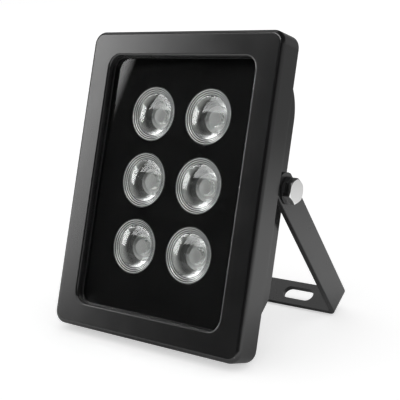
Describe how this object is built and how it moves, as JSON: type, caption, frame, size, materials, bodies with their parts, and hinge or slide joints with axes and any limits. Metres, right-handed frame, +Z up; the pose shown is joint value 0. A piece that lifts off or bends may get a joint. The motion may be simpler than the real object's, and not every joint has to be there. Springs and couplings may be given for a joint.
{
  "type": "infrared illuminator",
  "caption": "Infrared lamp head with domed lenses behind a glass window in a deep frame, finned back, tilting in a folded yoke bracket.",
  "frame": {"origin": "centre of the footprint of the bounding box, on the surface that the lamp stands on", "axes": "+Z up, X along the pivot to the viewer's right, the window looks towards -Y and up"},
  "size_m": [0.1142, 0.0934, 0.1366],
  "materials": {
    "bolt_steel": "bright stainless steel",
    "bracket_coat": "steel strip, black powder coat, semi-matt",
    "capacitor_can": "aluminium can",
    "casting_coat": "die-cast aluminium, black powder coat, semi-matt",
    "component_black": "moulded component body",
    "driver_board_green": "glass-epoxy board, green mask",
    "emitter": "infrared emitter package",
    "friction_nylon": "black nylon",
    "gland_nylon": "black nylon",
    "heat_pad": "grey heat pad",
    "holder_silver": "moulded cup with a satin silver face",
    "led_board_white": "aluminium-core board, white mask",
    "lens_clear": "clear moulded acrylic, polished",
    "mask_black": "black polycarbonate sheet",
    "screw_steel": "plated steel",
    "seal_rubber": "black silicone rubber",
    "terminal_green": "moulded terminal block",
    "washer_black": "steel, black finish",
    "window_glass": "clear tempered glass"
  },
  "bodies": {
    "mounting_bracket": {"bracket": "bracket_coat"},
    "lamp_head": {"board_screws": "screw_steel", "driver_board": "driver_board_green", "driver_capacitors": "capacitor_can", "driver_chip": "component_black", "driver_inductor": "component_black", "driver_screws": "screw_steel", "flat_washer_left": "washer_black", "flat_washer_right": "washer_black", "frame_screws": "screw_steel", "friction_washer_left": "friction_nylon", "friction_washer_right": "friction_nylon", "front_frame": "casting_coat", "front_glass": "window_glass", "gland_body": "gland_nylon", "gland_nut": "gland_nylon", "gland_o_ring": "seal_rubber", "gland_seal": "seal_rubber", "glass_gasket": "seal_rubber", "housing_gasket": "seal_rubber", "led_board": "led_board_white", "led_emitter_lower_left": "emitter", "led_emitter_lower_right": "emitter", "led_emitter_middle_left": "emitter", "led_emitter_middle_right": "emitter", "led_emitter_upper_left": "emitter", "led_emitter_upper_right": "emitter", "lens_holder_lower_left": "holder_silver", "lens_holder_lower_right": "holder_silver", "lens_holder_middle_left": "holder_silver", "lens_holder_middle_right": "holder_silver", "lens_holder_upper_left": "holder_silver", "lens_holder_upper_right": "holder_silver", "lens_lower_left": "lens_clear", "lens_lower_right": "lens_clear", "lens_middle_left": "lens_clear", "lens_middle_right": "lens_clear", "lens_upper_left": "lens_clear", "lens_upper_right": "lens_clear", "mask_plate": "mask_black", "pivot_bolt_left": "bolt_steel", "pivot_bolt_right": "bolt_steel", "rear_housing": "casting_coat", "supply_terminal": "terminal_green", "thermal_pad": "heat_pad"}
  },
  "joints": [
    {"name": "head_tilt", "type": "hinge", "parent": "mounting_bracket", "child": "lamp_head", "pos_m": [0, -0.00349, 0.06853], "axis": [1, 0, 0], "range_deg": [-127.6, 52.4]}
  ]
}
